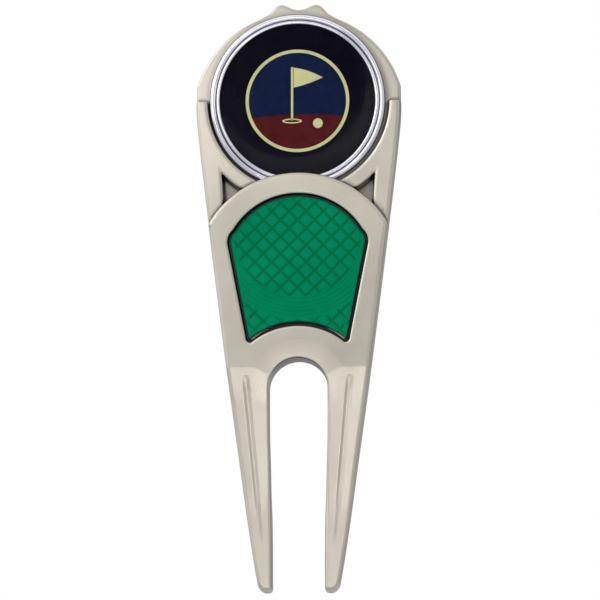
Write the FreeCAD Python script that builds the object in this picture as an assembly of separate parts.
import FreeCAD, Part
import math
import os

# Divot repair tool with two prongs and a slide-in ball marker.  Millimetres.
# Frame: X across the tool, Z along it (prong tips at Z = 0, head at the top), front towards -Y.
# Depth is a "level" (names ending in _L): the distance from the back face towards the front,
# so Y = THICK / 2 - level.

V = FreeCAD.Vector
TO_FRONT = V(0, -1, 0)
SIDES = (1, -1)          # right (+X), then left (-X)

# levels
THICK = 4.9              # back face to bezel face
FLOOR_L = 1.9            # head plate and pocket floor
ARM_L = 3.5              # front of the pocket arms
LIP_L = 3.8              # front limit of the pocket cutter
PAD_FLOOR_L = 3.6        # floor of the front pad recess
REAR_FLOOR_L = 1.0       # floor of the rear pad recess
MAGNET_FLOOR_L = 0.8     # floor of the magnet bore

# reach of the cutters beyond the tool
CLEAR_X = 20.0
CLEAR_Z = 95.0
CLEAR_L = 8.0
DRUM_CLEAR_L = 9.0       # for drums that trim another cutter
CLEAR_BACK_L = -1.0

# slot between the prongs, and the prong tips
SLOT_Z = 29.72           # centre of the round end
SLOT_R = 4.34
TIP_IN = 3.88            # half width between the prongs at the tips
TIP_IN_R = 0.5           # inner corner radius of a tip
TIP_FLAT_END = (4.95, 0.0)
TIP_OUTER_MID = (5.62, 0.42)
SLOT_SIDE = [            # (half width, z), top to bottom
    (SLOT_R, SLOT_Z), (4.33, 25.9), (4.30, 22.3), (4.19, 18.6),
    (4.12, 14.9), (3.98, 11.2), (3.91, 7.5), (TIP_IN, TIP_IN_R)]

# outer side and head
SIDE = [                 # (half width, z), bottom to top
    (6.02, 1.3), (6.47, 3.85), (7.58, 11.2), (8.58, 18.6), (10.09, 29.6), (11.05, 37.0),
    (11.98, 44.4), (12.89, 51.8), (13.81, 59.3), (14.64, 66.7), (14.98, 70.6), (14.95, 74.8)]
HEAD_Z = 70.2            # centre of the head arc
HEAD_R = 15.645
HUMP = [                 # (half width, z) of the raised top, outside to middle
    (5.6, 84.82), (4.9, 85.2), (4.25, 85.62), (3.71, 86.24), (3.2, 86.69),
    (2.6, 86.9), (1.9, 86.75), (1.0, 86.3), (0.0, 86.12)]
HUMP_START_DIR = (-0.85, 0.5)    # (x, z) tangents of the right half
HUMP_END_DIR = (-1.0, 0.0)

# marker pocket and bezel arch
POCKET_Z = 72.35
POCKET_R = 13.25
ARM_END_Z = POCKET_Z     # flat ends of the arms
ARCH_Z = 46.3
ARCH_R = 15.2

# blind triangular windows between the arms and the bezel
WINDOW_IN_X = 6.0
WINDOW_OUTER = [(10.5, 53.0), (11.5, 66.0)]    # (x, z) ends of the outer side
WINDOW_RING_R = 15.6     # upper limit, about the pocket centre
WINDOW_TOP_Z = 62.5      # the piece wanted lies wholly below this
WINDOW_FLOOR_L = 0.9
WINDOW_CORNER_R = 0.3

# shield outline shared by the pad recesses and pads
SHIELD_TOP_Z = 47.4      # centre of the top arc
SHIELD_TOP_R = 11.0
SHOULDER = (10.19, 51.4)
SIDE_FOOT = (7.6, 37.15)
FOOT_CORNER = (6.86, 36.35)
SHIELD_BOTTOM_Z = 38.8   # middle of the hollow foot
SCALE_Z = 46.0           # the outline is scaled about this height
REAR_SCALE = 0.92

# pads
PAD_GAP = 0.36
FOOT_GAP = 0.28          # extra gap below the foot of the front pad
FILM_T = 0.15            # adhesive film thickness
FILM_GAP = PAD_GAP + 0.15
PAD_L = 4.72             # front of the front pad
SCOOP_Z = 52.6           # spherical scoop in the front pad
SCOOP_R = 12.6
SCOOP_DEPTH = 0.42
REAR_PAD_L = 0.06        # face of the rear pad, just inside the back face
RIB_GROOVES = 8          # cross grooves in the rear pad
RIB_GROOVE_Z = 38.6
RIB_PITCH = 2.4
RIB_GROOVE_W = 0.5
RIB_GROOVE_DEPTH = 0.25
RIB_GROOVE_REACH = 12.0

# magnet
MAGNET_R = 4.5
MAGNET_T = 0.9
MAGNET_GAP = 0.05
MAGNET_FILM_R = MAGNET_R - 0.2
MAGNET_FILM_T = 0.12

# prong fronts: roofs with a groove along the crest
CREASE_Z = 32.7          # where the roofs meet the bezel face
CREST_TIP_L = 2.75       # crest at Z = 0
PRONG_TOP_X, PRONG_TOP_Z = 7.72, 32.5          # centre line, upper point
PRONG_TIP_X = 4.72                             # centre line at Z = 0
ROOF_STATIONS = [        # (z, reach each side of the crest, drop at that reach)
    (CREASE_Z, 5.8, 0.0), (27.5, 5.8, 0.44), (-1.0, 3.0, 0.44)]
GROOVE_ENDS = [(31.2, 0.93), (7.0, 0.60)]      # (z, width)
GROOVE_DEPTH = 0.35
GROOVE_EDGE_DEPTH = 0.55 * GROOVE_DEPTH
GROOVE_END_DEPTH = 0.8 * GROOVE_DEPTH

# conical bevel around the top of the slot
CROWN_R = SLOT_R - 0.3
CROWN_FRONT_R = 7.3
CROWN_L = 4.72
CROWN_FRONT_L = THICK + 0.001

# ball marker
MARKER_X = -0.12
MARKER_Z = 72.32
COIN_R = 12.92
COIN_BACK_L = 1.95
COIN_FRONT_L = 3.55
COIN_BEVEL = 0.25
DISC_R = 11.38
DISC_FIT = 0.02          # radial gap on each side of DISC_R
DISH_R = DISC_R + DISC_FIT
PRINT_R = DISC_R - DISC_FIT
DISH_L = 3.15            # floor of the dish in the coin
PRINT_L = DISH_L + 0.12  # front of the printed disc
DOME_EDGE_L = PRINT_L + 0.12
DOME_TOP_L = 3.85
COIN_PROFILE = [         # (radius, level)
    (0, COIN_BACK_L), (COIN_R - COIN_BEVEL, COIN_BACK_L), (COIN_R, COIN_BACK_L + COIN_BEVEL),
    (COIN_R, 3.15), (COIN_R - 0.15, 3.40), (12.46, COIN_FRONT_L), (12.22, 3.50),
    (12.06, 3.28), (11.97, 3.28), (11.82, 3.46), (11.64, 3.50), (11.48, 3.44),
    (DISH_R, 3.36), (DISH_R, DISH_L), (0, DISH_L)]


# ---------------------------------------------------------------- helpers
def at(x, z, level):
    return V(x, THICK / 2.0 - level, z)


def line(start, end):
    return Part.makeLine(at(*start, 0.0), at(*end, 0.0))


def arc(start, middle, end):
    return Part.Arc(at(*start, 0.0), at(*middle, 0.0), at(*end, 0.0)).toShape()


def curve(points, **tangents):
    spline = Part.BSplineCurve()
    spline.interpolate(Points=[at(x, z, 0.0) for x, z in points], **tangents)
    return spline.toShape()


def polygon(points):
    return Part.makePolygon(points + [points[0]])


def plate(edges, back, front):
    """Closed outline drawn at level 0, filled between two levels."""
    wire = Part.Wire(Part.__sortEdges__(edges))
    solid = Part.Face(wire).extrude(V(0, -(front - back), 0))
    solid.translate(V(0, -back, 0))
    return solid


def slab(half_width, z0, z1, back, front):
    """Box centred on X = 0."""
    return Part.makeBox(2 * half_width, front - back, z1 - z0, at(-half_width, z0, front))


def drum(x, z, radius, back, front):
    return Part.makeCylinder(radius, front - back, at(x, z, back), TO_FRONT)


def one_solid(shape):
    """The largest solid in the shape."""
    return max(shape.Solids, key=lambda solid: solid.Volume)


def carve(shape, tool):
    return one_solid(shape.cut(tool))


def cap_radius(rim_radius, height):
    """Sphere radius of a cap with the given rim and height."""
    return (rim_radius ** 2 + height ** 2) / (2 * height)


def edges_at(shape, level, wanted):
    """Edges lying at a level for which wanted(midpoint, bounding box) is true."""
    y = THICK / 2.0 - level
    found = []
    for edge in shape.Edges:
        box = edge.BoundBox
        if abs(box.YMin - y) < 1e-3 and abs(box.YMax - y) < 1e-3:
            middle = edge.valueAt(0.5 * (edge.FirstParameter + edge.LastParameter))
            if wanted(middle, box):
                found.append(edge)
    return found


def soften(shape, level, wanted, radii):
    """Round the wanted edges with the first radius that holds."""
    edges = edges_at(shape, level, wanted)
    if not edges:
        return shape
    for radius in radii:
        # a fillet that is too large for the edges raises an error: try the next radius
        try:
            rounded = one_solid(shape.makeFillet(radius, edges))
            if rounded.isValid() and rounded.Volume > 0.9 * shape.Volume:
                return rounded
        except Exception:
            pass
    return shape


# ---------------------------------------------------------------- tool body
def half_outline(side):
    """Outline of one half, from the slot round the tip and up to the middle of the head."""
    def flip(point):
        return (side * point[0], point[1])

    tip_x = TIP_IN + TIP_IN_R
    diagonal = TIP_IN_R * math.sqrt(0.5)
    head_start, head_end = SIDE[-1], HUMP[0]
    head_angle = 0.5 * (math.atan2(head_start[1] - HEAD_Z, head_start[0])
                        + math.atan2(head_end[1] - HEAD_Z, head_end[0]))
    head_mid = (HEAD_R * math.cos(head_angle), HEAD_Z + HEAD_R * math.sin(head_angle))
    return [
        arc(flip((TIP_IN, TIP_IN_R)), flip((tip_x - diagonal, TIP_IN_R - diagonal)),
            flip((tip_x, 0.0))),
        line(flip((tip_x, 0.0)), flip(TIP_FLAT_END)),
        arc(flip(TIP_FLAT_END), flip(TIP_OUTER_MID), flip(SIDE[0])),
        curve([flip(point) for point in SIDE]),
        arc(flip(head_start), flip(head_mid), flip(head_end)),
        curve([flip(point) for point in HUMP],
              InitialTangent=V(side * HUMP_START_DIR[0], 0, HUMP_START_DIR[1]),
              FinalTangent=V(side * HUMP_END_DIR[0], 0, HUMP_END_DIR[1])),
        curve([flip(point) for point in SLOT_SIDE])]


def blank():
    slot_end = arc((SLOT_R, SLOT_Z), (0.0, SLOT_Z + SLOT_R), (-SLOT_R, SLOT_Z))
    return plate(half_outline(1) + half_outline(-1) + [slot_end], 0.0, THICK)


def arm_relief():
    """Everything in front of the arms and outside the bezel arch."""
    above = slab(CLEAR_X, ARCH_Z, CLEAR_Z, ARM_L, CLEAR_L)
    return above.cut(drum(0, ARCH_Z, ARCH_R, ARM_L - 1, DRUM_CLEAR_L))


def pocket():
    """Round pocket, open at the head and undercutting the bezel."""
    round_end = drum(0, POCKET_Z, POCKET_R, FLOOR_L, LIP_L)
    opening = slab(POCKET_R, POCKET_Z, CLEAR_Z, FLOOR_L, LIP_L)
    return round_end.fuse(opening).removeSplitter()


def window(side):
    (low_x, low_z), (high_x, high_z) = WINDOW_OUTER
    corners = [(side * WINDOW_IN_X, low_z), (side * low_x, low_z),
               (side * high_x, high_z), (side * WINDOW_IN_X, high_z)]
    edges = [line(corners[i], corners[(i + 1) % 4]) for i in range(4)]
    block = plate(edges, WINDOW_FLOOR_L, CLEAR_L)
    block = block.cut(drum(0, ARCH_Z, ARCH_R, 0.0, DRUM_CLEAR_L))
    block = block.cut(drum(0, POCKET_Z, WINDOW_RING_R, 0.0, DRUM_CLEAR_L))
    piece = [solid for solid in block.Solids if solid.BoundBox.ZMax < WINDOW_TOP_Z][0]
    upright = [edge for edge in piece.Edges if edge.BoundBox.YLength > 1.0]
    # the corners stay sharp if the narrow piece cannot take the fillet
    try:
        rounded = piece.makeFillet(WINDOW_CORNER_R, upright)
        if rounded.isValid():
            piece = rounded
    except Exception:
        pass
    return piece


def shield(inset=0.0, scale=1.0, foot_up=0.0):
    """Shield outline: round top, square shoulders, tapering sides, hollow foot."""
    def scaled(x, z):
        return (x * scale, SCALE_Z + (z - SCALE_Z) * scale)

    top_r = SHIELD_TOP_R - inset
    shoulder_x = SHOULDER[0] - inset
    shoulder_z = SHOULDER[1] + inset * 0.2
    top_x = shoulder_x - 0.75
    top_z = SHIELD_TOP_Z + math.sqrt(top_r ** 2 - top_x ** 2)
    foot_x = SIDE_FOOT[0] - inset
    foot_z = SIDE_FOOT[1] + foot_up
    corner_x = FOOT_CORNER[0] - inset * 0.9
    corner_z = FOOT_CORNER[1] + inset + foot_up
    bend_x = 0.35 * foot_x + 0.65 * corner_x + 0.18
    bend_z = 0.5 * (foot_z + corner_z) - 0.28

    edges = [arc(scaled(top_x, top_z), scaled(0, SHIELD_TOP_Z + top_r), scaled(-top_x, top_z))]
    for side in SIDES:
        side_top = scaled(side * shoulder_x, shoulder_z - 0.9)
        side_foot = scaled(side * foot_x, foot_z)
        edges.append(arc(scaled(side * top_x, top_z),
                         scaled(side * (shoulder_x - 0.16), top_z - 0.75), side_top))
        edges.append(line(side_top, side_foot))
        edges.append(arc(side_foot, scaled(side * bend_x, bend_z),
                         scaled(side * corner_x, corner_z)))
    edges.append(arc(scaled(corner_x, corner_z), scaled(0, SHIELD_BOTTOM_Z + inset + foot_up),
                     scaled(-corner_x, corner_z)))
    return edges


def prong_x(z):
    return PRONG_TOP_X + (PRONG_TIP_X - PRONG_TOP_X) * (z - PRONG_TOP_Z) / -PRONG_TOP_Z


def crest_level(z):
    return THICK + (CREST_TIP_L - THICK) * (CREASE_Z - z) / CREASE_Z


def roof(side):
    """Material in front of a prong's two sloping faces, kept to its own half."""
    wires = []
    for z, reach, drop in ROOF_STATIONS:
        middle, crest = prong_x(z), crest_level(z)
        section = [(middle - reach, crest - drop), (middle, crest),
                   (middle + reach, crest - drop), (middle + reach, CLEAR_L),
                   (middle - reach, CLEAR_L)]
        wires.append(polygon([at(side * max(x, 0.0), z, level) for x, level in section]))
    return Part.makeLoft(wires, True, True)


def groove(side):
    """Tapering groove along a prong's crest, with round ends."""
    wires = []
    for z, width in GROOVE_ENDS:
        middle, crest = prong_x(z), crest_level(z)
        section = [(-width / 2, CLEAR_L), (-width / 2, crest - GROOVE_EDGE_DEPTH),
                   (-width / 4, crest - GROOVE_DEPTH), (width / 4, crest - GROOVE_DEPTH),
                   (width / 2, crest - GROOVE_EDGE_DEPTH), (width / 2, CLEAR_L)]
        wires.append(polygon([at(side * (middle + x), z, level) for x, level in section]))
    cutter = Part.makeLoft(wires, True, True)
    for z, width in GROOVE_ENDS:
        cutter = cutter.fuse(drum(side * prong_x(z), z, width / 2,
                                  crest_level(z) - GROOVE_END_DEPTH, CLEAR_L))
    return cutter


def crown_bevel():
    return Part.makeCone(CROWN_R, CROWN_FRONT_R, CROWN_FRONT_L - CROWN_L,
                         at(0, SLOT_Z, CROWN_L), TO_FRONT)


def is_bezel_outer(middle, box):
    """Bezel arch and the outer sides between the crease and the arch."""
    if abs(math.hypot(middle.x, middle.z - ARCH_Z) - ARCH_R) < 0.02 and middle.z > 53:
        return True
    return (abs(middle.x) > 9.0 and box.ZMin > CREASE_Z - 0.5 and box.ZMax < 54.5
            and box.ZLength > 10)


def is_recess_rim(middle, box):
    return (abs(middle.x) < 10.6 and 35.4 < middle.z < 58.4
            and box.XMax < 10.7 and box.XMin > -10.7 and box.ZMax >= 35.5)


def is_arm_front(middle, box):
    """Pocket edge and outer side of the arms."""
    on_pocket = abs(math.hypot(middle.x, middle.z - POCKET_Z) - POCKET_R) < 0.02
    return (on_pocket and box.ZLength > 3) or (abs(middle.x) > 13.2 and box.ZLength > 10)


def is_back_outer(middle, box):
    """Every back edge except the rim of the rear recess."""
    return not (abs(box.XMax) < 10.2 and abs(box.XMin) < 10.2
                and box.ZMin > 35.5 and box.ZMax < 58.5)


SOFTENED = [             # (level, edge test, radii to try)
    (THICK, is_bezel_outer, (0.6, 0.45, 0.3)),
    (THICK, is_recess_rim, (0.3, 0.2)),
    (ARM_L, is_arm_front, (0.4, 0.3, 0.2)),
    (0.0, is_back_outer, (0.5, 0.4, 0.3, 0.2))]


def tool_body():
    body = blank().cut(arm_relief())
    body = body.cut(slab(CLEAR_X, ARM_END_Z, CLEAR_Z, FLOOR_L, CLEAR_L))
    body = carve(body, pocket())
    for side in SIDES:
        body = carve(body, window(side))
    body = carve(body, plate(shield(), PAD_FLOOR_L, CLEAR_L))
    body = carve(body, plate(shield(scale=REAR_SCALE), CLEAR_BACK_L, REAR_FLOOR_L))
    body = carve(body, drum(0, POCKET_Z, MAGNET_R + MAGNET_GAP, MAGNET_FLOOR_L, FLOOR_L + 0.5))
    for side in SIDES:
        body = carve(body, roof(side))
    body = carve(body, crown_bevel())
    for side in SIDES:
        body = carve(body, groove(side))
    for level, wanted, radii in SOFTENED:
        body = soften(body, level, wanted, radii)
    return body


# ---------------------------------------------------------------- pads and magnet
def front_film():
    return plate(shield(FILM_GAP, foot_up=FOOT_GAP), PAD_FLOOR_L, PAD_FLOOR_L + FILM_T)


def front_pad():
    pad = plate(shield(PAD_GAP, foot_up=FOOT_GAP), PAD_FLOOR_L + FILM_T, PAD_L)
    pad = soften(pad, PAD_L, lambda middle, box: True, (0.3, 0.2))
    radius = cap_radius(SCOOP_R, SCOOP_DEPTH)
    return carve(pad, Part.makeSphere(radius, at(0, SCOOP_Z, PAD_L - SCOOP_DEPTH + radius)))


def rear_film():
    return plate(shield(FILM_GAP, REAR_SCALE), REAR_FLOOR_L - FILM_T, REAR_FLOOR_L)


def rear_pad():
    pad = plate(shield(PAD_GAP, REAR_SCALE), REAR_PAD_L, REAR_FLOOR_L - FILM_T)
    grooves = []
    for i in range(RIB_GROOVES):
        z = RIB_GROOVE_Z + i * RIB_PITCH
        grooves.append(slab(RIB_GROOVE_REACH, z, z + RIB_GROOVE_W,
                            CLEAR_BACK_L, REAR_PAD_L + RIB_GROOVE_DEPTH))
    return carve(pad, Part.makeCompound(grooves))


def magnet_film():
    return drum(0, POCKET_Z, MAGNET_FILM_R, MAGNET_FLOOR_L, MAGNET_FLOOR_L + MAGNET_FILM_T)


def magnet():
    back = MAGNET_FLOOR_L + MAGNET_FILM_T
    return drum(0, POCKET_Z, MAGNET_R, back, back + MAGNET_T)


# ---------------------------------------------------------------- marker
def radial(radius, level):
    return V(radius, -level, 0)


def turned(wire):
    """Closed profile of radial points turned about the marker axis."""
    solid = Part.Face(wire).revolve(V(0, 0, 0), V(0, 1, 0), 360)
    solid.translate(at(MARKER_X, MARKER_Z, 0.0))
    return solid


def coin():
    return turned(polygon([radial(*point) for point in COIN_PROFILE]))


def print_disc():
    profile = [(0, DISH_L), (PRINT_R, DISH_L), (PRINT_R, PRINT_L), (0, PRINT_L)]
    return turned(polygon([radial(*point) for point in profile]))


def dome():
    """Clear of the dish wall, with a short upright rim and a spherical front."""
    centre = radial(0, PRINT_L)
    rim_back = radial(PRINT_R, PRINT_L)
    rim_front = radial(PRINT_R, DOME_EDGE_L)
    top = radial(0, DOME_TOP_L)
    radius = cap_radius(PRINT_R, DOME_TOP_L - DOME_EDGE_L)
    angle = 0.5 * math.asin(PRINT_R / radius)
    middle = radial(radius * math.sin(angle), DOME_TOP_L - radius + radius * math.cos(angle))
    return turned(Part.Wire([Part.makeLine(centre, rim_back), Part.makeLine(rim_back, rim_front),
                             Part.Arc(rim_front, middle, top).toShape(),
                             Part.makeLine(top, centre)]))


PIECES = {
    "tool_body": tool_body,
    "front_grip_pad": front_pad,
    "front_pad_adhesive": front_film,
    "rear_grip_pad": rear_pad,
    "rear_pad_adhesive": rear_film,
    "pocket_magnet": magnet,
    "magnet_adhesive": magnet_film,
    "marker_coin": coin,
    "marker_print": print_disc,
    "marker_dome": dome,
}

os.makedirs("parts", exist_ok=True)
for name, build in PIECES.items():
    one_solid(build()).exportStep("parts/%s.step" % name)
